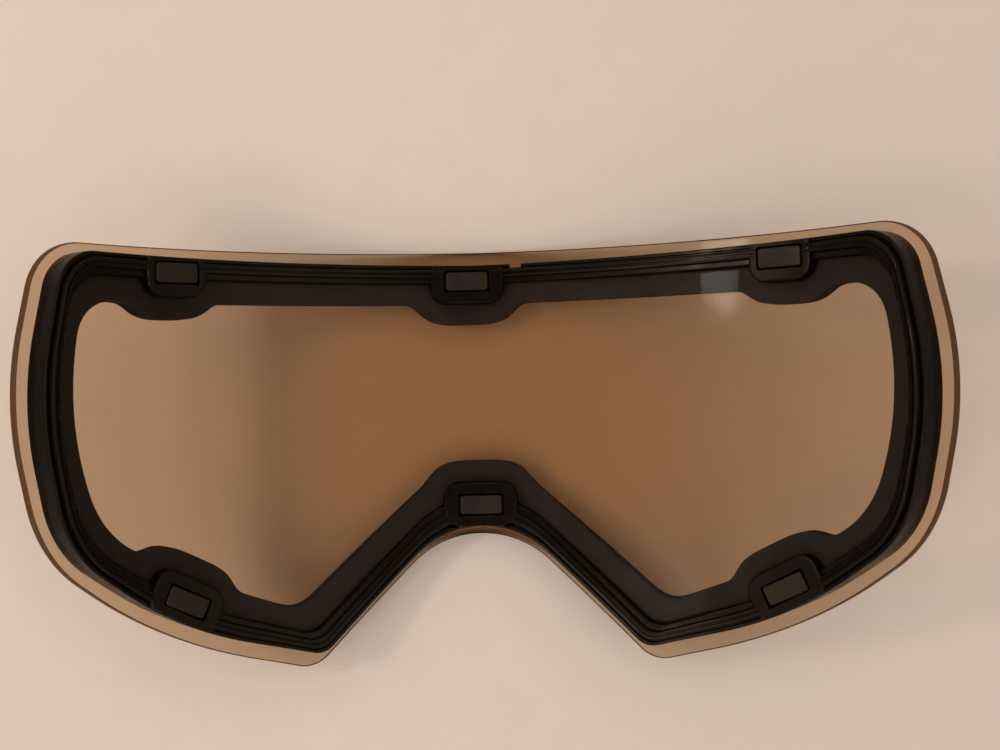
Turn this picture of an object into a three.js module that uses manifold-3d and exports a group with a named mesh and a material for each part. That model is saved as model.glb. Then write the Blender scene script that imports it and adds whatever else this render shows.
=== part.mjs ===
// A curved double-pane goggle lens cartridge held to its goggle by six magnets.
// It lies on the middle of its convex front: +X and +Y run across the width and up to the
// top edge as worn, +Z points to the wearer's face, and the origin is under its middle.
import * as THREE from 'three';
import { mergeVertices } from 'three/addons/utils/BufferGeometryUtils.js';
import Module from 'manifold-3d';

const wasm = await Module();
wasm.setup();

// ---------- driving dimensions, in millimetres ----------

// The whole stack is bent about one axis parallel to Y. A place on it is (across, up, depth):
// arc length on the front surface, height, and depth behind the front surface.
const FRONT_RADIUS = 104;
// The odd number of flat facets puts one facet under the middle, for the part to lie on.
const FACETED_ANGLE = THREE.MathUtils.degToRad(120);
const FACET_COUNT = 25;
const FACET_ANGLE = FACETED_ANGLE / FACET_COUNT;
const FACET_LENGTH = FRONT_RADIUS * FACET_ANGLE;

// Where each layer starts and ends, as depth behind the front surface.
const OUTER_LENS = [0, 1.5];
const BOND_TAPE = [1.65, 2.05];
const FRAME_BASE = [2.2, 7.3];
const FRAME_TOP = [6.9, 8.5];
const GASKET_FRONT = [1.65, 1.9];
const SPACER_FOAM = [2.05, 5.05];
const GASKET_BACK = [5.2, 5.45];
const INNER_LENS = [5.6, 6.4];
const THROUGH = [-2, 12];

// Corners of half of each flat outline, from the middle of the top to the nose cut:
// across, up, and the radius that rounds the corner.
const LENS_OUTLINE = [
  [0, 26.8, 0], [98, 27.4, 12], [105.6, -3, 56], [98.5, -33, 29],
  [70, -54.1, 108], [37.5, -62.7, 7], [0, -26.7, 22],
];
const FRAME_OUTLINE = [
  [0, 23.5, 0], [96.3, 25.3, 9], [103.4, -3.5, 57], [96.8, -32, 23],
  [69.4, -50.6, 93], [37, -58.6, 5], [0, -24.9, 23],
];
const WINDOW_OUTLINE = [
  [0, 15.3, 0], [91.5, 15.8, 8], [94.9, -7, 54], [87.6, -29.6, 21],
  [64, -41, 102], [41.8, -49.4, 6], [0, -13.1, 21],
];

// Outlines between the frame's outer edge (0) and the window's edge (1).
const TAPE_OUTER = 0.05;
const RIB_OUTER = 0.13;
const RIB_INNER = 0.34;
const TAPE_INNER = 0.42;
const FRAME_INNER = 0.48;
const PANE_OUTER = 0.52;

// Six magnet seats: across, up, turn in the lens surface in degrees, and housing width.
const MAGNET_SEATS = {
  top_left: { across: -70.5, up: 21.5, turn: 0, housing: 14 },
  top_center: { across: -2, up: 20, turn: 0, housing: 17 },
  top_right: { across: 70.5, up: 21.5, turn: 0, housing: 14 },
  lower_left: { across: -69.5, up: -44.2, turn: -26, housing: 17 },
  lower_right: { across: 69.5, up: -44.2, turn: 26, housing: 17 },
  nose: { across: 0, up: -28.2, turn: 0, housing: 17 },
};
const HOUSING_LENGTH = 9.6;
const HOUSING_RADIUS = 3.4;
const PANE_CLEARANCE = 0.35;
const FOAM_MARGIN = 4.4;

const MAGNET = { width: 8.4, height: 3.4, depth: [4, 7] };
const CAP = { width: 9, height: 4, depth: [7.3, 8.75] };
const POCKET = { width: 10.6, height: 4.7, depth: [3.6, THROUGH[1]] };

// Small openings through the frame: across, up, width and height.
const FRAME_SLOTS = [
  { across: -6.6, up: -32.7, turn: 0, width: 2.6, height: 0.9, depth: THROUGH },
  { across: 6.6, up: -32.7, turn: 0, width: 2.6, height: 0.9, depth: THROUGH },
  { across: 9.4, up: 23.4, turn: 0, width: 2.6, height: 1.6, depth: THROUGH },
];

// Steps in each rounded corner of the outlines and of the magnet housings.
const OUTLINE_SEGMENTS = 3;
const HOUSING_SEGMENTS = 2;

// Half the size of the blocks that cut a flat solid into strips, and how close to a facet
// joint a point counts as on it.
const STRIP_REACH = 100;
const SNAP = 1e-5;

// Corners closer together than this are one corner, and so are two along one edge whose
// shares of the edge agree to this many decimals.
const WELD = 1e-4;
const SHARE_DECIMALS = 4;

// ---------- solids ----------

function toSolid(geometry) {
  geometry.deleteAttribute('normal');
  geometry.deleteAttribute('uv');
  const merged = mergeVertices(geometry, WELD);
  return new wasm.Manifold(new wasm.Mesh({
    numProp: 3,
    vertProperties: new Float32Array(merged.attributes.position.array),
    triVerts: new Uint32Array(merged.index.array),
  }));
}

function toGeometry(solid) {
  const { vertProperties, triVerts } = solid.getMesh();
  const shared = new THREE.BufferGeometry();
  shared.setAttribute('position', new THREE.BufferAttribute(vertProperties, 3));
  shared.setIndex(new THREE.BufferAttribute(triVerts, 1));
  const faceted = shared.toNonIndexed();
  faceted.computeVertexNormals();
  return faceted;
}

// ---------- flat outlines ----------

function blendOutlines(share) {
  return FRAME_OUTLINE.map((corner, i) => corner.map((value, k) =>
    THREE.MathUtils.lerp(value, WINDOW_OUTLINE[i][k], share)));
}

// A closed shape, the same on both sides, from one half's corners rounded with arcs.
function outlineShape(half) {
  const mirrored = half.slice(1, -1).reverse().map(([across, up, radius]) => [-across, up, radius]);
  const corners = [...half, ...mirrored];
  const shape = new THREE.Shape();
  corners.forEach(([across, up, radius], i) => {
    const [beforeAcross, beforeUp] = corners[(i + corners.length - 1) % corners.length];
    const [afterAcross, afterUp] = corners[(i + 1) % corners.length];
    const corner = new THREE.Vector2(across, up);
    const back = new THREE.Vector2(beforeAcross, beforeUp).sub(corner).normalize();
    const ahead = new THREE.Vector2(afterAcross, afterUp).sub(corner).normalize();
    const halfAngle = Math.acos(back.dot(ahead)) / 2;
    if (radius === 0) {
      shape.moveTo(across, up);
      return;
    }
    const middle = back.clone().add(ahead).normalize();
    const centre = corner.clone().addScaledVector(middle, radius / Math.sin(halfAngle));
    const reach = radius / Math.tan(halfAngle);
    const start = corner.clone().addScaledVector(back, reach).sub(centre);
    const end = corner.clone().addScaledVector(ahead, reach).sub(centre);
    const clockwise = back.cross(ahead) > 0;
    shape.absarc(centre.x, centre.y, radius, start.angle(), end.angle(), clockwise);
  });
  shape.closePath();
  return shape;
}

function roundedRectangle(width, height, radius) {
  const shape = new THREE.Shape();
  const x = width / 2 - radius;
  const y = height / 2 - radius;
  const quarter = Math.PI / 2;
  shape.absarc(x, y, radius, 0, quarter, false);
  shape.absarc(-x, y, radius, quarter, 2 * quarter, false);
  shape.absarc(-x, -y, radius, 2 * quarter, 3 * quarter, false);
  shape.absarc(x, -y, radius, 3 * quarter, 4 * quarter, false);
  shape.closePath();
  return shape;
}

// An outline made solid while it is still flat: x is across, y is up and z is depth.
function flatPrism(shape, [near, far]) {
  const prism = new THREE.ExtrudeGeometry(shape, {
    depth: far - near,
    bevelEnabled: false,
    curveSegments: OUTLINE_SEGMENTS,
  });
  prism.translate(0, 0, near);
  return toSolid(prism);
}

function blendPrism(share, depths) {
  return flatPrism(outlineShape(blendOutlines(share)), depths);
}

// The rounded blocks of one size around all six magnet seats.
function seatPrisms(margin, depths) {
  const width = (seat) => seat.housing + 2 * margin;
  const length = HOUSING_LENGTH + 2 * margin;
  const radius = HOUSING_RADIUS + margin;
  const prisms = Object.values(MAGNET_SEATS).map((seat) => {
    const turn = THREE.MathUtils.degToRad(seat.turn);
    const centre = new THREE.Vector2(seat.across, seat.up);
    const points = roundedRectangle(width(seat), length, radius).getPoints(HOUSING_SEGMENTS);
    const placed = points.map((point) => point.rotateAround(new THREE.Vector2(), turn).add(centre));
    return flatPrism(new THREE.Shape(placed), depths);
  });
  return prisms.reduce((joined, prism) => joined.add(prism));
}

// ---------- bending ----------

// Facet joints are counted from one side, and the middle of the middle facet is at zero.
function jointsFromMiddle(joint) {
  return joint - FACET_COUNT / 2;
}

// A flat place moved onto the facet that starts at the given joint.
function bentPoint({ x: across, y: up, z: depth }, joint) {
  const radius = FRONT_RADIUS - depth;
  const [start, end] = [joint, joint + 1].map((side) => {
    const angle = jointsFromMiddle(side) * FACET_ANGLE;
    return new THREE.Vector3(radius * Math.sin(angle), up, FRONT_RADIUS - radius * Math.cos(angle));
  });
  const share = across / FACET_LENGTH - jointsFromMiddle(joint);
  return start.multiplyScalar(1 - share).addScaledVector(end, share);
}

// The triangles of one flat strip, with the corners near a joint moved exactly onto it.
function stripTriangles(strip) {
  const { vertProperties, triVerts } = strip.getMesh();
  const points = [];
  for (let i = 0; i < vertProperties.length; i += 3) {
    const point = new THREE.Vector3().fromArray(vertProperties, i);
    const joint = Math.round(point.x / FACET_LENGTH + FACET_COUNT / 2);
    const jointX = jointsFromMiddle(joint) * FACET_LENGTH;
    const isNear = Math.abs(point.x - jointX) < SNAP;
    point.joint = isNear ? joint : null;
    point.x = isNear ? jointX : point.x;
    points.push(point);
  }
  const triangles = [];
  for (let i = 0; i < triVerts.length; i += 3) {
    triangles.push(Array.from(triVerts.subarray(i, i + 3), (corner) => points[corner]));
  }
  return triangles;
}

function isOnJoint(points) {
  return points[0].joint !== null && points.every((point) => point.joint === points[0].joint);
}

// Splits a triangle whose edge lies along a joint wherever another corner meets that edge,
// so that the strips on both sides of the joint share every corner.
function splitAtJoint(triangle, cornersByJoint) {
  const start = [0, 1, 2].find((k) => isOnJoint([triangle[k], triangle[(k + 1) % 3]]));
  if (start === undefined) {
    return [triangle];
  }
  const [from, to, apex] = [0, 1, 2].map((step) => triangle[(start + step) % 3]);
  const edge = new THREE.Line3(from, to);
  const along = (point) => edge.closestPointToPointParameter(point, false);
  const met = new Map();
  for (const point of cornersByJoint.get(from.joint)) {
    const nearest = edge.closestPointToPoint(point, true, new THREE.Vector3());
    const isInside = point.distanceTo(from) > WELD && point.distanceTo(to) > WELD;
    if (isInside && nearest.distanceTo(point) < WELD) {
      met.set(along(point).toFixed(SHARE_DECIMALS), point);
    }
  }
  const between = [...met.values()].sort((a, b) => along(a) - along(b));
  const chain = [from, ...between, to];
  return chain.slice(1).map((point, k) => [chain[k], point, apex]);
}

// Bends a flat solid round the lens axis, one flat strip at a time. The ends of the strips
// are left out, so the faces weld into one skin.
function bend(solid) {
  const strips = [];
  for (let joint = 0; joint < FACET_COUNT; joint += 1) {
    const cutter = new THREE.BoxGeometry(FACET_LENGTH, 2 * STRIP_REACH, 2 * STRIP_REACH);
    cutter.translate((jointsFromMiddle(joint) + 0.5) * FACET_LENGTH, 0, 0);
    strips.push({ joint, triangles: stripTriangles(solid.intersect(toSolid(cutter))) });
  }
  const corners = Map.groupBy(
    new Set(strips.flatMap((strip) => strip.triangles.flat())),
    (point) => point.joint,
  );
  const faces = strips.flatMap(({ joint, triangles }) => triangles
    .filter((triangle) => !isOnJoint(triangle))
    .flatMap((triangle) => splitAtJoint(triangle, corners))
    .flatMap((triangle) => triangle.flatMap((point) => bentPoint(point, joint).toArray())));
  const bent = new THREE.BufferGeometry();
  bent.setAttribute('position', new THREE.BufferAttribute(new Float32Array(faces), 3));
  return toSolid(bent);
}

// A flat-faced block square to the lens surface at one place on it.
function squareBlock(place, { width, height, depth }) {
  const [near, far] = depth;
  const block = new THREE.BoxGeometry(width, height, far - near);
  block.rotateZ(THREE.MathUtils.degToRad(place.turn));
  block.translate(0, place.up, (near + far) / 2 - FRONT_RADIUS);
  block.rotateY(-place.across / FRONT_RADIUS);
  block.translate(0, 0, FRONT_RADIUS);
  return block;
}

// ---------- the pieces ----------

function outerLens() {
  return bend(flatPrism(outlineShape(LENS_OUTLINE), OUTER_LENS));
}

function bondTape() {
  const outside = blendPrism(TAPE_OUTER, BOND_TAPE);
  return bend(outside.subtract(blendPrism(TAPE_INNER, THROUGH)));
}

function lensFrame() {
  const opening = blendPrism(FRAME_INNER, THROUGH).subtract(seatPrisms(0, THROUGH));
  const base = blendPrism(0, FRAME_BASE).subtract(opening);
  const rib = blendPrism(RIB_OUTER, FRAME_TOP).subtract(blendPrism(RIB_INNER, THROUGH));
  const housings = blendPrism(0, FRAME_TOP).intersect(seatPrisms(0, THROUGH));
  const body = bend(base.add(rib).add(housings));
  const pockets = Object.values(MAGNET_SEATS).map((seat) => toSolid(squareBlock(seat, POCKET)));
  const slots = FRAME_SLOTS.map((slot) => toSolid(squareBlock(slot, slot)));
  return [...pockets, ...slots].reduce((left, cutter) => left.subtract(cutter), body);
}

function innerLens() {
  return bend(blendPrism(PANE_OUTER, INNER_LENS).subtract(seatPrisms(PANE_CLEARANCE, THROUGH)));
}

// A ring under the rim of the inner lens that steps inwards round each magnet housing.
function gasketRing(depths) {
  const outside = blendPrism(PANE_OUTER, depths).subtract(seatPrisms(PANE_CLEARANCE, THROUGH));
  const inside = blendPrism(1, THROUGH).subtract(seatPrisms(FOAM_MARGIN, THROUGH));
  return bend(outside.subtract(inside));
}

// ---------- assembly ----------

function piece(name, geometry, color, roughness, metalness = 0) {
  const mesh = new THREE.Mesh(
    geometry,
    new THREE.MeshStandardMaterial({ color, roughness, metalness }),
  );
  mesh.name = name;
  return mesh;
}

const lens = piece('outer_lens', toGeometry(outerLens()), 0xa27c55, 0.08);
const stack = new THREE.Group();
stack.add(
  lens,
  piece('frame_bond_tape', toGeometry(bondTape()), 0x1a1816, 0.8),
  piece('lens_frame', toGeometry(lensFrame()), 0x15100b, 0.3),
  piece('gasket_adhesive_front', toGeometry(gasketRing(GASKET_FRONT)), 0x2b2723, 0.6),
  piece('spacer_foam', toGeometry(gasketRing(SPACER_FOAM)), 0x32271d, 0.95),
  piece('gasket_adhesive_back', toGeometry(gasketRing(GASKET_BACK)), 0x2b2723, 0.6),
  piece('inner_lens', toGeometry(innerLens()), 0x9b704d, 0.08),
);
for (const [place, seat] of Object.entries(MAGNET_SEATS)) {
  stack.add(piece(`magnet_${place}`, squareBlock(seat, MAGNET), 0x8f8f8c, 0.35, 1));
  stack.add(piece(`magnet_cap_${place}`, squareBlock(seat, CAP), 0x2a2318, 0.55));
}

// The middle of the height goes to zero, and the lowest facet to the resting surface.
const lensBox = new THREE.Box3().setFromObject(lens);
stack.position.y = -(lensBox.min.y + lensBox.max.y) / 2;
stack.position.z = -lensBox.min.z;

const cartridge = new THREE.Group();
cartridge.add(stack);

export default cartridge;
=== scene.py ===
"""Looks of a curved double-pane goggle lens held to its goggle by six magnets.

The stack of lens, tape, frame, foam and inner lens is drawn flat, where a place is
(across, up, depth behind the front surface), and is then bent round the lens axis.
"""

import math

import bmesh
import bpy
from mathutils import Matrix, Vector


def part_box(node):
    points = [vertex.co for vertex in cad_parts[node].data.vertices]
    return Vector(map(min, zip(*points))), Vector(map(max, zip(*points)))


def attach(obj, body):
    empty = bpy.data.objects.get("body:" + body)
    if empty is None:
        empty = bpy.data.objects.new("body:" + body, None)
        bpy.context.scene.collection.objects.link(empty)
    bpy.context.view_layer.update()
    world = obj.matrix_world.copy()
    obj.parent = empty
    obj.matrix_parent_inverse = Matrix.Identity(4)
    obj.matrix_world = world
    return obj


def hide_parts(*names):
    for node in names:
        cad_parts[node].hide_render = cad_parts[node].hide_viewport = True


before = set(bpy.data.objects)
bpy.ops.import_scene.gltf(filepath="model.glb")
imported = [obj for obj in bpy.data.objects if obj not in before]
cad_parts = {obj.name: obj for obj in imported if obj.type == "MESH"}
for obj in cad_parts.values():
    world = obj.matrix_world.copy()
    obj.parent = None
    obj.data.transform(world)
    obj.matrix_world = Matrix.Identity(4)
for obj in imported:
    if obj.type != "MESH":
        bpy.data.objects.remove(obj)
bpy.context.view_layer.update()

bl_info = {
    "name": "Magnetic goggle lens",
    "version": (1, 0, 0),
    "blender": (4, 5, 0),
    "location": "View3D > Sidebar > Goggle lens",
    "description": "Builds a double-pane magnetic goggle lens on its CAD frame",
    "category": "Add Mesh",
}

MM = 0.001

# ---------- driving dimensions, in millimetres ----------

# Radius of the lens's curved front, and the angle of one straight strip of a bent piece.
FRONT_RADIUS = 104
STRIP_ANGLE = math.radians(1.5)

# Where each layer starts and ends, as depth behind the front surface. A cutter goes
# through them all.
OUTER_LENS = (0, 1.5)
BOND_TAPE = (1.65, 2.05)
GASKET_FRONT = (1.65, 1.9)
SPACER_FOAM = (2.05, 5.05)
GASKET_BACK = (5.2, 5.45)
INNER_LENS = (5.6, 6.4)
THROUGH = (-2, 12)

# Corners of half of each flat outline, from the middle of the top to the nose cut:
# across, up, and the radius that rounds the corner.
LENS_OUTLINE = (
    (0, 26.8, 0),
    (98, 27.4, 12),
    (105.6, -3, 56),
    (98.5, -33, 29),
    (70, -54.1, 108),
    (37.5, -62.7, 7),
    (0, -26.7, 22),
)
FRAME_OUTLINE = (
    (0, 23.5, 0),
    (96.3, 25.3, 9),
    (103.4, -3.5, 57),
    (96.8, -32, 23),
    (69.4, -50.6, 93),
    (37, -58.6, 5),
    (0, -24.9, 23),
)
WINDOW_OUTLINE = (
    (0, 15.3, 0),
    (91.5, 15.8, 8),
    (94.9, -7, 54),
    (87.6, -29.6, 21),
    (64, -41, 102),
    (41.8, -49.4, 6),
    (0, -13.1, 21),
)

# Steps of the arc at each corner, the same for all outlines so that they can be blended.
CORNER_STEPS = (0, 18, 12, 12, 12, 18, 28)

# The frame's section, as a share of the way from the frame's outer edge to the window's
# edge and a depth: outer wall, lip, groove, the rib with its own fine groove, inner step.
FRAME_SECTION = (
    (0, 2.2),
    (0, 6.9),
    (0.012, 7.18),
    (0.035, 7.3),
    (0.075, 7.3),
    (0.09, 7.2),
    (0.098, 6.75),
    (0.118, 6.75),
    (0.126, 7.3),
    (0.13, 8.1),
    (0.142, 8.4),
    (0.165, 8.5),
    (0.212, 8.5),
    (0.222, 8.42),
    (0.228, 8.1),
    (0.248, 8.1),
    (0.254, 8.42),
    (0.264, 8.5),
    (0.305, 8.5),
    (0.328, 8.4),
    (0.34, 8.1),
    (0.346, 7.4),
    (0.356, 7.3),
    (0.445, 7.3),
    (0.468, 7.18),
    (0.48, 6.9),
    (0.48, 2.2),
)

# Edges of the rings and of the inner lens, as shares of that same way.
TAPE_OUTER = 0.05
TAPE_INNER = 0.42
PANE_OUTER = 0.52
FOAM_OUTER = 0.487

# Six magnet seats: across, up, turn in the lens surface in degrees, and housing width.
MAGNET_SEATS = {
    "top_left": (-70.5, 21.5, 0, 14),
    "top_center": (-2, 20, 0, 17),
    "top_right": (70.5, 21.5, 0, 14),
    "lower_left": (-69.5, -44.2, -26, 17),
    "lower_right": (69.5, -44.2, 26, 17),
    "nose": (0, -28.2, 0, 17),
}

# The housings stay just off the frame's own faces, so that the two join cleanly. The
# inset is a share of the way from the frame's outer edge to the window's edge.
HOUSING_LENGTH = 9.6
HOUSING_RADIUS = 3.4
HOUSING_RIM = 0.45
HOUSING_DEPTH = (2.3, 8.45)
HOUSING_INSET = 0.03

# Gaps between a housing and the inner lens and foam beside it, and how far the foam
# reaches from a housing.
PANE_CLEARANCE = 0.35
FOAM_CLEARANCE = 0.06
FOAM_MARGIN = 4.4

# Step along an outline with cut-outs, and how many times its corners are averaged.
PANE_EASING = (0.9, 6)
FOAM_EASING = (0.6, 2)
WINDOW_EASING = (0.7, 9)

# The magnet, its cover and the pocket that holds them.
MAGNET_SIZE = (8.4, 3.4)
MAGNET_DEPTH = (4, 7)
MAGNET_CORNER = 0.3
MAGNET_RIM = 0.2
CAP_SIZE = (9, 4)
CAP_DEPTH = (7.3, 8.75)
CAP_CORNER = 0.6
POCKET_SIZE = (10.6, 4.7)
POCKET_DEPTH = (3.6, 12)
POCKET_CORNER = 0.4

# Small openings through the frame: across, up, width and height.
FRAME_SLOTS = (
    (-6.6, -32.7, 2.6, 0.9),
    (6.6, -32.7, 2.6, 0.9),
    (9.4, 23.4, 2.6, 1.6),
)
SLOT_CORNER = 0.3

# Rounding of the inner lens's rims, and the number of flats in a rounded rim.
PANE_RIM = 0.15
PANE_RIM_STEPS = 2
RIM_STEPS = 3

# Two depths this close are level, and points this close are one point.
LEVEL = 1e-6
SAME_PLACE = 1e-4

# Upward parts of a normal: above the first the face looks up, and above the second it
# is one of a plate's two broad faces.
LOOKS_UP = 0.5
BROAD_FACE = 0.95

# Edges that turn less than this are shaded smooth.
SMOOTH_ANGLE = math.radians(30)

# ---------- finishes ----------

# Tint of the gloss on the plastics: a painted warm reflection, standing in for the warm
# room that the real plastics pick up.
WARM_GLOSS = (1, 0.74, 0.54, 1)

# Refractive indices of the tinted outer pane and the coated inner pane, and the power of
# the slant in Schlick's formula for how much a face mirrors.
OUTER_INDEX = 1.58
INNER_INDEX = 1.4
SLANT_POWER = 5

# How smeared a polished face and a cut edge are, as roughness from and to.
POLISHED = (0.04, 0.12)
CUT = (0.12, 0.3)

# Light under the panes crosses eight clear faces on its way in and out, and more where
# it passes a rim at a slant.
PANE_CROSSINGS = 16

# ---------- light and camera, in metres and degrees ----------

# Side of the square floor, and its darker patches as a share of its colour.
FLOOR_SIZE = 3
FLOOR_SHADE = 0.985

LAMP_COLOUR = (1, 0.94, 0.87)
SOFT_LAMP_PLACE = (-0.6, -0.35, 0.9)
SOFT_LAMP_AIM = (0, 0, 0)
SOFT_LAMP_SIZE = 0.4
GLINT_LAMP_PLACE = (-0.33, 0.09, 0.35)
GLINT_LAMP_AIM = (0.05, 0.032, 0.02)
GLINT_LAMP_SIZE = 0.07
SKY_COLOUR = (1, 0.955, 0.91, 1)

# The sky is dimmer near the horizon and straight overhead: its share of the full strength
# there, and the upward part of the direction at which that change starts and ends.
HORIZON_SHARE = 0.28
HORIZON_EDGE = (0.2, 0.75)
OVERHEAD_SHARE = 0.15
OVERHEAD_EDGE = (0.9, 0.97)

# Place, turns about X, Y and Z, and image shift to the right and up, as a share of the
# image's width. Focal length and sensor width are in millimetres.
CAMERA_PLACE = (-0.0059, 0.01545, 0.27815)
CAMERA_TURNS = (1.43, 0.72, -1.46)
CAMERA_SHIFT = (0.066, -0.023)
FOCAL_LENGTH = 45
SENSOR_WIDTH = 36
NEAREST_SEEN = 0.01

# ---------- flat outlines ----------


def blend_outlines(share):
    """Corners between the frame's outer edge (0) and the window's edge (1)."""
    return [
        tuple(a + (b - a) * share for a, b in zip(outer, inner))
        for outer, inner in zip(FRAME_OUTLINE, WINDOW_OUTLINE)
    ]


def rounded_corner(before, corner, after, radius, steps):
    """Points along the arc that rounds one corner."""
    back = (before - corner).normalized()
    ahead = (after - corner).normalized()
    half_angle = back.angle(ahead) / 2
    centre = corner + (back + ahead).normalized() * radius / math.sin(half_angle)
    start = corner + back * radius / math.tan(half_angle) - centre
    end = corner + ahead * radius / math.tan(half_angle) - centre
    sweep = start.angle_signed(end)
    points = []
    for step in range(steps + 1):
        points.append(centre + Matrix.Rotation(-sweep * step / steps, 2) @ start)
    return points


def outline_points(half):
    """A closed outline, the same on both sides, from one half's corners."""
    corners = [
        (Vector((across, up)), radius, steps)
        for (across, up, radius), steps in zip(half, CORNER_STEPS)
    ]
    mirrored = [
        (Vector((-place.x, place.y)), radius, steps)
        for place, radius, steps in reversed(corners[1:-1])
    ]
    closed = corners + mirrored
    points = []
    for i, (corner, radius, steps) in enumerate(closed):
        if steps == 0:
            points.append(corner)
        else:
            before = closed[i - 1][0]
            after = closed[(i + 1) % len(closed)][0]
            points += rounded_corner(before, corner, after, radius, steps)
    return points[::-1]


def eased(points, spacing, passes):
    """The outline with even steps, its corners softened by averaging neighbours."""
    closed = points + points[:1]
    walked = [0]
    for a, b in zip(closed, closed[1:]):
        walked.append(walked[-1] + (b - a).length)
    count = round(walked[-1] / spacing)
    even = []
    leg = 0
    for i in range(count):
        along = walked[-1] * i / count
        while walked[leg + 1] <= along:
            leg += 1
        share = (along - walked[leg]) / (walked[leg + 1] - walked[leg])
        even.append(closed[leg].lerp(closed[leg + 1], share))
    for _ in range(passes):
        even = [
            (even[i - 1] + 2 * even[i] + even[(i + 1) % count]) / 4
            for i in range(count)
        ]
    return even


# The drawing is moved up so that the middle of the lens's height is at the CAD lens's.
LENS_POINTS = outline_points(LENS_OUTLINE)
UP_SHIFT = -(min(p.y for p in LENS_POINTS) + max(p.y for p in LENS_POINTS)) / 2
LENS_LOW, LENS_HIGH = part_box("outer_lens")
MIDDLE = Vector(LENS_LOW).lerp(Vector(LENS_HIGH), 0.5)

# ---------- modelling steps ----------


def clear_selection():
    """Back to object mode with nothing selected."""
    if bpy.context.object and bpy.context.object.mode != "OBJECT":
        bpy.ops.object.mode_set(mode="OBJECT")
    bpy.ops.object.select_all(action="DESELECT")


def make_active(piece):
    """Selects one piece alone."""
    clear_selection()
    piece.select_set(True)
    bpy.context.view_layer.objects.active = piece


def select_edges(piece, test):
    """In edit mode, selects only the edges that pass the test."""
    bpy.ops.mesh.select_mode(type="EDGE")
    bpy.ops.mesh.select_all(action="DESELECT")
    mesh = bmesh.from_edit_mesh(piece.data)
    for edge in mesh.edges:
        if test(edge):
            edge.select_set(True)
    mesh.select_flush_mode()
    bmesh.update_edit_mesh(piece.data)


def add_outline(name, points, depth, fill):
    """A circle whose points are moved onto the outline at one depth."""
    clear_selection()
    bpy.ops.mesh.primitive_circle_add(
        vertices=len(points), radius=FRONT_RADIUS, fill_type=fill
    )
    piece = bpy.context.object
    piece.name = name
    piece.data.name = name
    for vertex, point in zip(piece.data.vertices, points):
        vertex.co = (point.x, point.y, depth)
    return piece


def round_rims(piece, size, steps, behind=-math.inf):
    """Bevels the level edges of a flat plate that lie behind a depth."""
    select_edges(
        piece,
        lambda edge: abs(edge.verts[0].co.z - edge.verts[1].co.z) < LEVEL
        and edge.verts[0].co.z > behind,
    )
    bpy.ops.mesh.bevel(offset=size, segments=steps, affect="EDGES", clamp_overlap=False)


def add_plate(name, points, depths, rim=0):
    """A flat plate of the given outline between two depths, its rims rounded if asked."""
    near, far = depths
    piece = add_outline(name, points, near, "NGON")
    bpy.ops.object.mode_set(mode="EDIT")
    bpy.ops.mesh.select_all(action="SELECT")
    bpy.ops.mesh.extrude_region_move(
        TRANSFORM_OT_translate={"value": (0, 0, far - near)}
    )
    bpy.ops.mesh.select_all(action="SELECT")
    bpy.ops.mesh.normals_make_consistent(inside=False)
    if rim:
        round_rims(piece, rim, PANE_RIM_STEPS)
    bpy.ops.object.mode_set(mode="OBJECT")
    return piece


def add_loft(name, section):
    """A ring extruded loop by loop along a section of (share, depth) places."""
    piece = add_outline(name, outline_points(blend_outlines(section[0][0])), 0, "NOTHING")
    count = len(piece.data.vertices)
    station = piece.data.attributes.new("station", "INT", "POINT")
    station.data.foreach_set("value", list(range(count)))
    for vertex in piece.data.vertices:
        vertex.co.z = section[0][1]
    bpy.ops.object.mode_set(mode="EDIT")
    bpy.ops.mesh.select_mode(type="EDGE")
    bpy.ops.mesh.select_all(action="SELECT")
    for share, depth in section[1:] + section[:1]:
        bpy.ops.mesh.extrude_edges_move()
        loop = outline_points(blend_outlines(share))
        mesh = bmesh.from_edit_mesh(piece.data)
        stations = mesh.verts.layers.int["station"]
        for vertex in mesh.verts:
            if vertex.select:
                point = loop[vertex[stations]]
                vertex.co = (point.x, point.y, depth)
        bmesh.update_edit_mesh(piece.data)
    bpy.ops.mesh.select_all(action="SELECT")
    bpy.ops.mesh.remove_doubles(threshold=SAME_PLACE)
    bpy.ops.mesh.normals_make_consistent(inside=False)
    bpy.ops.object.mode_set(mode="OBJECT")
    piece.data.attributes.remove(piece.data.attributes["station"])
    return piece


def add_block(name, seat, size, depths, corner, rim=0, steps=4):
    """A rounded block over a magnet seat, still in the flat drawing."""
    across, up, turn = seat[:3]
    near, far = depths
    clear_selection()
    bpy.ops.mesh.primitive_cube_add(
        size=1,
        location=(across, up, (near + far) / 2),
        rotation=(0, 0, math.radians(turn)),
    )
    piece = bpy.context.object
    piece.name = name
    piece.data.name = name
    piece.scale = (size[0], size[1], far - near)
    bpy.ops.object.transform_apply(location=False, rotation=False, scale=True)
    bpy.ops.object.mode_set(mode="EDIT")
    select_edges(
        piece,
        lambda edge: abs(edge.verts[0].co.z - edge.verts[1].co.z) > LEVEL,
    )
    bpy.ops.mesh.bevel(offset=corner, segments=steps, affect="EDGES")
    if rim:
        top = max(v.co.z for v in bmesh.from_edit_mesh(piece.data).verts)
        select_edges(
            piece,
            lambda edge: all(top - v.co.z < LEVEL for v in edge.verts),
        )
        bpy.ops.mesh.bevel(offset=rim, segments=RIM_STEPS, affect="EDGES")
    bpy.ops.object.mode_set(mode="OBJECT")
    bpy.ops.object.transform_apply(location=True, rotation=True, scale=True)
    return piece


def combine(piece, other, operation):
    """Joins or cuts a piece with another one, which is used up."""
    make_active(piece)
    modifier = piece.modifiers.new("combine", "BOOLEAN")
    modifier.operation = operation
    modifier.solver = "MANIFOLD"
    modifier.object = other
    bpy.ops.object.modifier_apply(modifier=modifier.name)
    bpy.data.meshes.remove(other.data)


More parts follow.
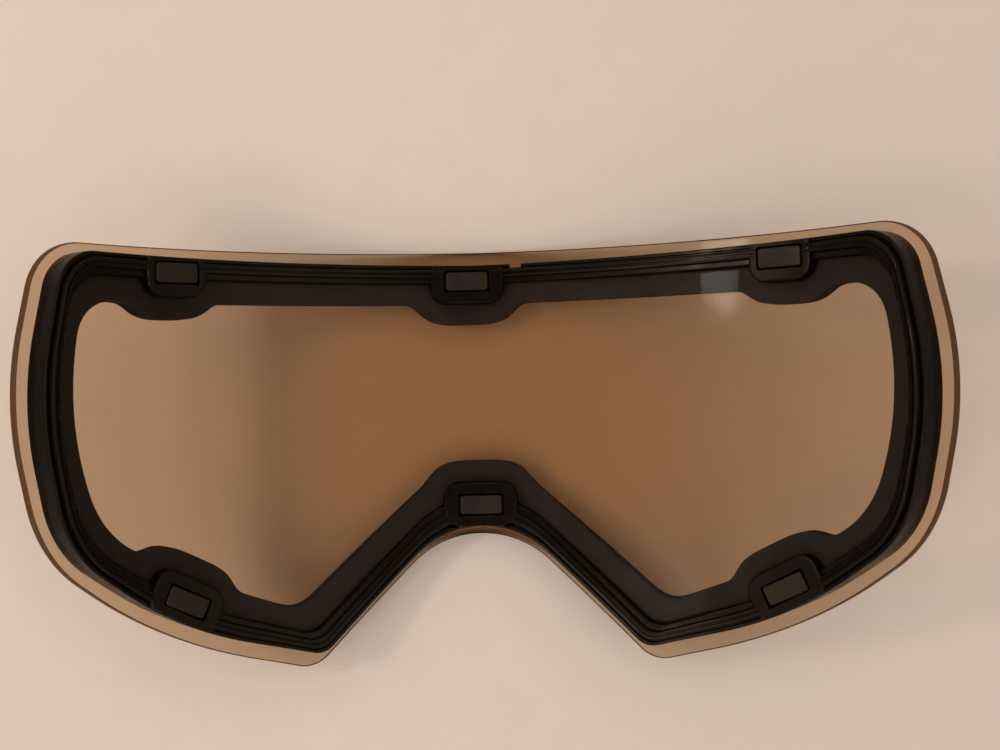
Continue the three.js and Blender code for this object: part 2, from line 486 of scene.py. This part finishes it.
def cut_outline(points, margin, easing):
    """An outline with the magnet seats cut out of it, softened where they meet."""
    pattern = add_plate("pattern", points, (0, 1))
    for seat in MAGNET_SEATS.values():
        size = (seat[3] + 2 * margin, HOUSING_LENGTH + 2 * margin)
        block = add_block("seat", seat, size, THROUGH, HOUSING_RADIUS + margin)
        combine(pattern, block, "DIFFERENCE")
    faces = [face for face in pattern.data.polygons if face.normal.z > LOOKS_UP]
    face = max(faces, key=lambda candidate: candidate.area)
    corners = [pattern.data.vertices[i].co.xy for i in face.vertices]
    bpy.data.meshes.remove(pattern.data)
    return eased(corners, *easing)


def bend(piece):
    """Cuts a flat piece into narrow strips and bends it round the lens axis."""
    make_active(piece)
    bpy.ops.object.mode_set(mode="EDIT")
    bpy.ops.mesh.select_mode(type="VERT")
    strip = FRONT_RADIUS * STRIP_ANGLE
    lines = int(max(abs(v.co.x) for v in bmesh.from_edit_mesh(piece.data).verts) / strip)
    for line in range(-lines, lines + 1):
        bpy.ops.mesh.select_all(action="SELECT")
        bpy.ops.mesh.bisect(plane_co=(line * strip, 0, 0), plane_no=(1, 0, 0))
    bpy.ops.object.mode_set(mode="OBJECT")
    for vertex in piece.data.vertices:
        across, up, depth = vertex.co
        angle = across / FRONT_RADIUS
        radius = FRONT_RADIUS - depth
        place = Vector(
            (
                radius * math.sin(angle),
                up + UP_SHIFT,
                FRONT_RADIUS - radius * math.cos(angle),
            )
        )
        vertex.co = place * MM + Vector((MIDDLE.x, MIDDLE.y, LENS_LOW[2]))


def place_at_seat(piece, seat):
    """Moves a block made round the origin onto its seat, square to the lens surface."""
    across, up, turn = seat[:3]
    middle = Matrix.Translation((MIDDLE.x, MIDDLE.y, LENS_LOW[2]))
    axis = Matrix.Translation((0, UP_SHIFT * MM, FRONT_RADIUS * MM))
    swing = Matrix.Rotation(-across / FRONT_RADIUS, 4, "Y")
    drop = Matrix.Translation((0, up * MM, -FRONT_RADIUS * MM))
    spin = Matrix.Rotation(math.radians(turn), 4, "Z")
    piece.data.transform(middle @ axis @ swing @ drop @ spin)


def shade(piece):
    """Smooth shading that keeps broad faces flat beside their rounded rims."""
    make_active(piece)
    bpy.ops.object.shade_smooth_by_angle(angle=SMOOTH_ANGLE)
    modifier = piece.modifiers.new("weighted", "WEIGHTED_NORMAL")
    modifier.keep_sharp = True
    modifier.weight = 100
    bpy.ops.object.modifier_apply(modifier=modifier.name)


def stand_in(piece, nodes):
    """Puts a finished piece on the body in the place of its CAD nodes."""
    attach(piece, "root")
    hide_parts(*nodes)


# ---------- materials ----------


def new_material(name):
    """An empty material and its node tree."""
    material = bpy.data.materials.new(name)
    material.use_nodes = True
    material.node_tree.nodes.clear()
    return material, material.node_tree


def add_node(tree, kind, **values):
    """A node with its own settings, and its inputs by name where they have that name."""
    node = tree.nodes.new(kind)
    for key, value in values.items():
        if key in node.inputs:
            node.inputs[key].default_value = value
        else:
            setattr(node, key, value)
    return node


def noise(tree, scale, detail=5, roughness=0.5):
    """A noise pattern fixed to the piece, scale in features per metre."""
    place = add_node(tree, "ShaderNodeTexCoord")
    texture = add_node(
        tree, "ShaderNodeTexNoise", Scale=scale, Detail=detail, Roughness=roughness
    )
    tree.links.new(place.outputs["Object"], texture.inputs["Vector"])
    return texture.outputs["Fac"]


def between(tree, factor, low, high, start=0.35, end=0.65):
    """A number that runs from low to high as the factor runs from start to end."""
    node = add_node(tree, "ShaderNodeMapRange")
    node.inputs["From Min"].default_value = start
    node.inputs["From Max"].default_value = end
    node.inputs["To Min"].default_value = low
    node.inputs["To Max"].default_value = high
    tree.links.new(factor, node.inputs["Value"])
    return node.outputs["Result"]


def mixed_colour(tree, factor, first, second):
    """A colour between two colours by a factor."""
    node = add_node(tree, "ShaderNodeMix", data_type="RGBA")
    # The colour sockets share their names with the number sockets, so they go by order.
    node.inputs[6].default_value = (*first, 1)
    node.inputs[7].default_value = (*second, 1)
    tree.links.new(factor, node.inputs[0])
    return node.outputs[2]


def bumped(tree, height, strength, distance):
    """A surface normal raised by a height."""
    node = add_node(tree, "ShaderNodeBump", Strength=strength, Distance=distance)
    tree.links.new(height, node.inputs["Height"])
    return node.outputs["Normal"]


def toned(colour, share):
    """A colour made darker or lighter."""
    return tuple(channel * share for channel in colour)


def finish_surface(tree, shader):
    """Ends a node tree with its surface."""
    output = add_node(tree, "ShaderNodeOutputMaterial")
    tree.links.new(shader, output.inputs["Surface"])


def plastic_material(name, dark, light, shine, roughness, grain, grain_depth):
    """Moulded plastic, foam or tape: mottled colour, uneven gloss and a fine grain."""
    material, tree = new_material(name)
    shader = add_node(tree, "ShaderNodeBsdfPrincipled")
    shader.inputs["Specular IOR Level"].default_value = shine
    # The gloss is tinted warm, a painted reflection of a warm room that the scene doesn't
    # hold.
    shader.inputs["Specular Tint"].default_value = WARM_GLOSS
    patches = noise(tree, scale=90, detail=4)
    speck = noise(tree, grain, roughness=0.7)
    colour = mixed_colour(tree, between(tree, patches, 0, 1), dark, light)
    gloss = between(tree, noise(tree, scale=260), *roughness)
    raised = bumped(tree, speck, strength=0.6, distance=grain_depth)
    tree.links.new(colour, shader.inputs["Base Color"])
    tree.links.new(gloss, shader.inputs["Roughness"])
    tree.links.new(raised, shader.inputs["Normal"])
    finish_surface(tree, shader.outputs["BSDF"])
    return material


def pane_material(name, tint, body, index, smear):
    """A clear pane: tinted light passes straight through and the faces shine."""
    material, tree = new_material(name)
    through = add_node(tree, "ShaderNodeBsdfTransparent", Color=(*tint, 1))
    shine = add_node(tree, "ShaderNodeBsdfPrincipled")
    shine.inputs["Base Color"].default_value = (*body, 1)
    shine.inputs["IOR"].default_value = index
    smudges = between(tree, noise(tree, scale=38, roughness=0.6), *smear)
    tree.links.new(smudges, shine.inputs["Roughness"])
    # Schlick's formula, the same from both sides of a face, as the light isn't bent inside.
    slant = add_node(tree, "ShaderNodeLayerWeight", Blend=0.5)
    steep = add_node(tree, "ShaderNodeMath", operation="POWER")
    steep.inputs[1].default_value = SLANT_POWER
    tree.links.new(slant.outputs["Facing"], steep.inputs[0])
    straight_on = ((index - 1) / (index + 1)) ** 2
    mix = add_node(tree, "ShaderNodeMixShader")
    mirrored = between(tree, steep.outputs["Value"], straight_on, 1, start=0, end=1)
    tree.links.new(mirrored, mix.inputs["Fac"])
    tree.links.new(through.outputs["BSDF"], mix.inputs[1])
    tree.links.new(shine.outputs["BSDF"], mix.inputs[2])
    finish_surface(tree, mix.outputs["Shader"])
    return material


def metal_material(name, colour):
    """Plated magnet metal with a faint cloudy polish."""
    material, tree = new_material(name)
    shader = add_node(tree, "ShaderNodeBsdfPrincipled")
    shader.inputs["Metallic"].default_value = 1
    cloud = noise(tree, scale=420)
    plated = mixed_colour(tree, between(tree, cloud, 0, 1), toned(colour, 0.8), colour)
    polish = between(tree, cloud, low=0.24, high=0.42)
    tree.links.new(plated, shader.inputs["Base Color"])
    tree.links.new(polish, shader.inputs["Roughness"])
    finish_surface(tree, shader.outputs["BSDF"])
    return material


# ---------- sizes and colours a user may change ----------


def colour_property(name, description, default):
    """A colour that a user may pick."""
    return bpy.props.FloatVectorProperty(
        name=name,
        description=description,
        subtype="COLOR",
        size=3,
        min=0,
        max=1,
        default=default,
    )


def length_property(name, description, default):
    """A length in metres that a user may set."""
    return bpy.props.FloatProperty(
        name=name,
        description=description,
        default=default,
        min=0,
        unit="LENGTH",
        subtype="DISTANCE",
        precision=5,
    )


class LensSettings(bpy.types.PropertyGroup):
    """The two panes."""

    outer_tint: colour_property(
        "Outer tint",
        "Light that one face of the outer lens lets through",
        (0.855, 0.748, 0.628),
    )
    inner_tint: colour_property(
        "Inner tint",
        "Light that one face of the inner lens lets through",
        (0.998, 0.994, 0.988),
    )
    # Darker than the pane's tint: painted shade for the dark line that refraction draws
    # along the cut edge, together with the longer path through the tinted plastic.
    edge_shade_tint: colour_property(
        "Edge shade tint",
        "Light that the cut edge of the outer lens lets through",
        (0.2, 0.13, 0.08),
    )
    edge_rounding: length_property(
        "Edge rounding", "Radius along the inner rim of the outer lens", 0.0006
    )


class FrameSettings(bpy.types.PropertyGroup):
    """The moulded frame, its tape and the foam spacer."""

    frame_colour: colour_property(
        "Frame colour", "Colour of the moulded frame", (0.003, 0.0019, 0.0013)
    )
    foam_colour: colour_property(
        "Foam colour", "Colour of the foam spacer", (0.012, 0.0078, 0.005)
    )
    tape_colour: colour_property(
        "Tape colour", "Colour of the bond tape and adhesives", (0.01, 0.0065, 0.0042)
    )


class MagnetSettings(bpy.types.PropertyGroup):
    """The six magnets and their covers."""

    cover_colour: colour_property(
        "Cover colour", "Colour of the magnet covers", (0.009, 0.0066, 0.0042)
    )
    metal_colour: colour_property(
        "Metal colour", "Colour of the magnets", (0.55, 0.54, 0.52)
    )
    cover_rounding: length_property(
        "Cover rounding", "Radius along the top rim of each cover", 0.00035
    )


class StageSettings(bpy.types.PropertyGroup):
    """The floor, the lights and the camera."""

    floor_colour: colour_property(
        "Floor colour", "Colour of the plain floor", (0.68, 0.565, 0.485)
    )
    lamp_power: bpy.props.FloatProperty(
        name="Lamp power",
        description="Power of the large soft lamp in watts",
        default=1.6,
        min=0,
    )
    glint_power: bpy.props.FloatProperty(
        name="Glint power",
        description="Power of the small lamp in watts",
        default=0.42,
        min=0,
    )
    sky_strength: bpy.props.FloatProperty(
        name="Sky strength",
        description="Strength of the sky where it is brightest",
        default=1.15,
        min=0,
    )


# ---------- the pieces ----------


class GOGGLE_OT_outer_lens(bpy.types.Operator):
    """Add the tinted outer lens with its rounded cut edge"""

    bl_idname = "goggle.outer_lens"
    bl_label = "Outer lens"

    def execute(self, context):
        settings = context.scene.goggle_lens
        piece = add_plate("tinted_outer_lens", LENS_POINTS, OUTER_LENS)
        bpy.ops.object.mode_set(mode="EDIT")
        rounding = settings.edge_rounding / MM
        round_rims(piece, rounding, RIM_STEPS, behind=sum(OUTER_LENS) / 2)
        bpy.ops.object.mode_set(mode="OBJECT")
        pane = pane_material(
            "tinted_pane",
            tint=settings.outer_tint,
            body=(0.02, 0.014, 0.01),
            index=OUTER_INDEX,
            smear=POLISHED,
        )
        # The cut edge gets a rougher gloss and a darker tint, which is painted shade
        # standing in for the refraction at the edge wall.
        edge = pane_material(
            "edge_painted_shade",
            tint=settings.edge_shade_tint,
            body=(0.03, 0.018, 0.01),
            index=OUTER_INDEX,
            smear=CUT,
        )
        piece.data.materials.append(pane)
        piece.data.materials.append(edge)
        for face in piece.data.polygons:
            face.material_index = int(abs(face.normal.z) < BROAD_FACE)
        bend(piece)
        shade(piece)
        stand_in(piece, ["outer_lens"])
        return {"FINISHED"}


class GOGGLE_OT_inner_lens(bpy.types.Operator):
    """Add the clear inner lens, notched round each magnet seat"""

    bl_idname = "goggle.inner_lens"
    bl_label = "Inner lens"

    def execute(self, context):
        settings = context.scene.goggle_lens
        outline = outline_points(blend_outlines(PANE_OUTER))
        points = cut_outline(outline, PANE_CLEARANCE, PANE_EASING)
        piece = add_plate("clear_inner_lens", points, INNER_LENS, PANE_RIM)
        pane = pane_material(
            "clear_pane",
            tint=settings.inner_tint,
            body=(0.03, 0.03, 0.03),
            index=INNER_INDEX,
            smear=POLISHED,
        )
        piece.data.materials.append(pane)
        bend(piece)
        shade(piece)
        stand_in(piece, ["inner_lens"])
        return {"FINISHED"}


class GOGGLE_OT_frame(bpy.types.Operator):
    """Add the moulded frame with its ribs, magnet housings and slots"""

    bl_idname = "goggle.frame"
    bl_label = "Frame"

    def execute(self, context):
        settings = context.scene.goggle_frame
        piece = add_loft("moulded_frame", FRAME_SECTION)
        inside = outline_points(blend_outlines(HOUSING_INSET))
        for seat in MAGNET_SEATS.values():
            size = (seat[3], HOUSING_LENGTH)
            block = add_block(
                "housing", seat, size, HOUSING_DEPTH, HOUSING_RADIUS, HOUSING_RIM
            )
            limit = add_plate("limit", inside, THROUGH)
            combine(block, limit, "INTERSECT")
            combine(piece, block, "UNION")
        for seat in MAGNET_SEATS.values():
            pocket = add_block(
                "pocket", seat, POCKET_SIZE, POCKET_DEPTH, POCKET_CORNER, steps=2
            )
            combine(piece, pocket, "DIFFERENCE")
        for across, up, width, height in FRAME_SLOTS:
            seat = (across, up, 0)
            slot = add_block("slot", seat, (width, height), THROUGH, SLOT_CORNER, steps=2)
            combine(piece, slot, "DIFFERENCE")
        piece.data.materials.clear()
        moulding = plastic_material(
            "frame_moulding",
            dark=tuple(settings.frame_colour),
            light=toned(settings.frame_colour, 1.5),
            shine=0.13,
            roughness=(0.2, 0.34),
            grain=2600,
            grain_depth=0.02 * MM,
        )
        piece.data.materials.append(moulding)
        bend(piece)
        shade(piece)
        stand_in(piece, ["lens_frame"])
        return {"FINISHED"}


class GOGGLE_OT_tape(bpy.types.Operator):
    """Add the bond tape between the outer lens and the frame"""

    bl_idname = "goggle.tape"
    bl_label = "Bond tape"

    def execute(self, context):
        settings = context.scene.goggle_frame
        near, far = BOND_TAPE
        section = (
            (TAPE_OUTER, near),
            (TAPE_OUTER, far),
            (TAPE_INNER, far),
            (TAPE_INNER, near),
        )
        piece = add_loft("bond_tape_ring", section)
        tape = plastic_material(
            "tape_matte",
            dark=tuple(settings.tape_colour),
            light=toned(settings.tape_colour, 1.6),
            shine=0.2,
            roughness=(0.55, 0.75),
            grain=1800,
            grain_depth=0.03 * MM,
        )
        piece.data.materials.append(tape)
        bend(piece)
        shade(piece)
        stand_in(piece, ["frame_bond_tape"])
        return {"FINISHED"}


class GOGGLE_OT_foam(bpy.types.Operator):
    """Add the foam spacer ring and the thin adhesive on both its faces"""

    bl_idname = "goggle.foam"
    bl_label = "Foam spacer"

    def execute(self, context):
        settings = context.scene.goggle_frame
        outline = outline_points(blend_outlines(FOAM_OUTER))
        outside = cut_outline(outline, FOAM_CLEARANCE, FOAM_EASING)
        inside = outline_points(WINDOW_OUTLINE)
        window = cut_outline(inside, FOAM_MARGIN, WINDOW_EASING)
        foam = plastic_material(
            "foam_cells",
            dark=tuple(settings.foam_colour),
            light=toned(settings.foam_colour, 1.7),
            shine=0.15,
            roughness=(0.85, 1),
            grain=1500,
            grain_depth=0.18 * MM,
        )
        film = plastic_material(
            "adhesive_film",
            dark=tuple(settings.tape_colour),
            light=toned(settings.tape_colour, 1.5),
            shine=0.15,
            roughness=(0.5, 0.75),
            grain=1200,
            grain_depth=0.02 * MM,
        )
        glue = "gasket_adhesive"
        layers = (
            ("foam_spacer_ring", SPACER_FOAM, foam, "spacer_foam", "spacer_foam"),
            ("front_adhesive_ring", GASKET_FRONT, film, glue, "gasket_adhesive_front"),
            ("back_adhesive_ring", GASKET_BACK, film, glue, "gasket_adhesive_back"),
        )
        for name, depths, material, slot, node in layers:
            piece = add_plate(name, outside, depths)
            opening = add_plate("opening", window, THROUGH)
            combine(piece, opening, "DIFFERENCE")
            piece.data.materials.clear()
            piece.data.materials.append(material)
            bend(piece)
            shade(piece)
            stand_in(piece, [node])
        return {"FINISHED"}


class GOGGLE_OT_magnets(bpy.types.Operator):
    """Add the six magnets and their covers"""

    bl_idname = "goggle.magnets"
    bl_label = "Magnets"

    def execute(self, context):
        settings = context.scene.goggle_magnets
        metal = metal_material("magnet_plating", tuple(settings.metal_colour))
        cover = plastic_material(
            "cover_plastic",
            dark=tuple(settings.cover_colour),
            light=toned(settings.cover_colour, 1.5),
            shine=0.25,
            roughness=(0.4, 0.6),
            grain=2200,
            grain_depth=0.03 * MM,
        )
        cap_rim = settings.cover_rounding / MM
        kinds = (
            ("magnet", MAGNET_SIZE, MAGNET_DEPTH, MAGNET_CORNER, MAGNET_RIM, metal),
            ("magnet_cap", CAP_SIZE, CAP_DEPTH, CAP_CORNER, cap_rim, cover),
        )
        for kind, size, depths, corner, rim, material in kinds:
            model = add_block(kind, (0, 0, 0), size, depths, corner, rim)
            model.data.transform(Matrix.Scale(MM, 4))
            model.data.materials.append(material)
            for place, seat in MAGNET_SEATS.items():
                piece = bpy.data.objects.new(f"{place}_{kind}", model.data.copy())
                context.scene.collection.objects.link(piece)
                place_at_seat(piece, seat)
                shade(piece)
                stand_in(piece, [f"{kind}_{place}"])
            bpy.data.meshes.remove(model.data)
        return {"FINISHED"}


class GOGGLE_OT_stage(bpy.types.Operator):
    """Add the plain floor, the soft lights and the camera"""

    bl_idname = "goggle.stage"
    bl_label = "Stage"

    def execute(self, context):
        settings = context.scene.goggle_stage
        clear_selection()
        bpy.ops.mesh.primitive_grid_add(
            x_subdivisions=2, y_subdivisions=2, size=FLOOR_SIZE
        )
        floor = bpy.context.object
        floor.name = "floor"
        matte = plastic_material(
            "floor_matte",
            dark=toned(settings.floor_colour, FLOOR_SHADE),
            light=tuple(settings.floor_colour),
            shine=0.2,
            roughness=(0.7, 0.9),
            grain=900,
            grain_depth=0.02 * MM,
        )
        floor.data.materials.append(matte)
        add_lights(settings)
        add_camera()
        context.scene.view_settings.view_transform = "Standard"
        context.scene.cycles.transparent_max_bounces = PANE_CROSSINGS
        return {"FINISHED"}


def add_lamp(name, place, aim, size, power):
    """A warm round lamp aimed at a point."""
    bpy.ops.object.light_add(type="AREA", location=place)
    lamp = bpy.context.object
    lamp.name = name
    lamp.data.shape = "DISK"
    lamp.data.size = size
    lamp.data.energy = power
    lamp.data.color = LAMP_COLOUR
    towards = Vector(aim) - Vector(place)
    lamp.rotation_euler = towards.to_track_quat("-Z", "Y").to_euler()


def add_lights(settings):
    """A sky that is dimmer near the horizon and overhead, and the two lamps."""
    world = bpy.data.worlds.new("soft_sky")
    bpy.context.scene.world = world
    world.use_nodes = True
    tree = world.node_tree
    background = tree.nodes["Background"]
    background.inputs["Color"].default_value = SKY_COLOUR
    towards = add_node(tree, "ShaderNodeTexCoord")
    parts = add_node(tree, "ShaderNodeSeparateXYZ")
    tree.links.new(towards.outputs["Generated"], parts.inputs["Vector"])
    up = parts.outputs["Z"]
    high = settings.sky_strength
    rising = between(tree, up, high * HORIZON_SHARE, high, *HORIZON_EDGE)
    dimming = between(tree, up, 1, OVERHEAD_SHARE, *OVERHEAD_EDGE)
    strength = add_node(tree, "ShaderNodeMath", operation="MULTIPLY")
    tree.links.new(rising, strength.inputs[0])
    tree.links.new(dimming, strength.inputs[1])
    tree.links.new(strength.outputs["Value"], background.inputs["Strength"])
    add_lamp(
        "soft_lamp", SOFT_LAMP_PLACE, SOFT_LAMP_AIM, SOFT_LAMP_SIZE, settings.lamp_power
    )
    add_lamp(
        "glint_lamp",
        GLINT_LAMP_PLACE,
        GLINT_LAMP_AIM,
        GLINT_LAMP_SIZE,
        settings.glint_power,
    )


def add_camera():
    """A camera nearly straight above the inner side, turned a little in its plane."""
    bpy.ops.object.camera_add()
    camera = bpy.context.object
    camera.name = "camera"
    camera.data.lens = FOCAL_LENGTH
    camera.data.sensor_width = SENSOR_WIDTH
    camera.data.clip_start = NEAREST_SEEN
    camera.data.shift_x, camera.data.shift_y = CAMERA_SHIFT
    place = Matrix.Translation(CAMERA_PLACE)
    for turn, axis in zip(CAMERA_TURNS, "XYZ"):
        place = place @ Matrix.Rotation(math.radians(turn), 4, axis)
    camera.matrix_world = place
    bpy.context.scene.camera = camera


class GOGGLE_PT_panel(bpy.types.Panel):
    """Buttons and settings for each group of pieces"""

    bl_idname = "GOGGLE_PT_panel"
    bl_label = "Goggle lens"
    bl_space_type = "VIEW_3D"
    bl_region_type = "UI"
    bl_category = "Goggle lens"

    def draw(self, context):
        for operator in OPERATORS:
            self.layout.operator(operator.bl_idname)
        for group in SETTINGS:
            settings = getattr(context.scene, group)
            for name in settings.__annotations__:
                self.layout.prop(settings, name)


OPERATORS = (
    GOGGLE_OT_stage,
    GOGGLE_OT_outer_lens,
    GOGGLE_OT_tape,
    GOGGLE_OT_frame,
    GOGGLE_OT_foam,
    GOGGLE_OT_inner_lens,
    GOGGLE_OT_magnets,
)
SETTINGS = {
    "goggle_lens": LensSettings,
    "goggle_frame": FrameSettings,
    "goggle_magnets": MagnetSettings,
    "goggle_stage": StageSettings,
}


def register():
    for group, settings in SETTINGS.items():
        bpy.utils.register_class(settings)
        setattr(bpy.types.Scene, group, bpy.props.PointerProperty(type=settings))
    for operator in OPERATORS:
        bpy.utils.register_class(operator)
    bpy.utils.register_class(GOGGLE_PT_panel)


def unregister():
    bpy.utils.unregister_class(GOGGLE_PT_panel)
    for operator in reversed(OPERATORS):
        bpy.utils.unregister_class(operator)
    for group, settings in SETTINGS.items():
        delattr(bpy.types.Scene, group)
        bpy.utils.unregister_class(settings)


def main():
    register()
    bpy.ops.goggle.stage()
    bpy.ops.goggle.outer_lens()
    bpy.ops.goggle.tape()
    bpy.ops.goggle.frame()
    bpy.ops.goggle.foam()
    bpy.ops.goggle.inner_lens()
    bpy.ops.goggle.magnets()
    clear_selection()


if __name__ == "__main__":
    main()
